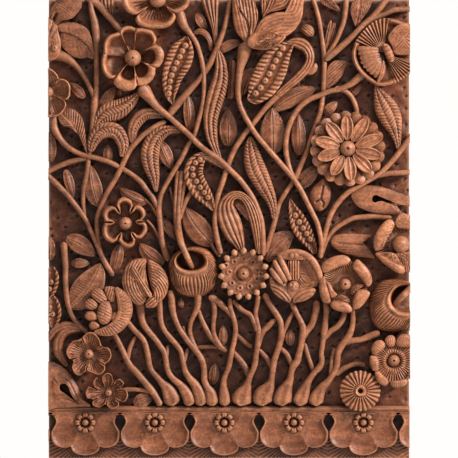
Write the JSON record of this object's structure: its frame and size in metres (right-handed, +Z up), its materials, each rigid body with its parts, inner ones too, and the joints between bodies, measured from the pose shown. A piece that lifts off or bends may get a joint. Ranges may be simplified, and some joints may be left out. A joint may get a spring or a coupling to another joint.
{
  "type": "carved wall plate",
  "caption": "Deep-relief carved wooden wall plate with intertwined stems, roots, leaves and flower heads above a scalloped border; hangs flat against a wall.",
  "frame": {"origin": "centre of the flat back face, which lies against the wall", "axes": "+Y out of the back into the wall, so the carving faces -Y; +Z up the plate; +X to the right seen from the front"},
  "size_m": [0.36, 0.044, 0.458],
  "materials": {
    "walnut": "oiled carved walnut with a soft satin sheen"
  },
  "bodies": {
    "root": {"carved_panel": "walnut"}
  },
  "joints": []
}
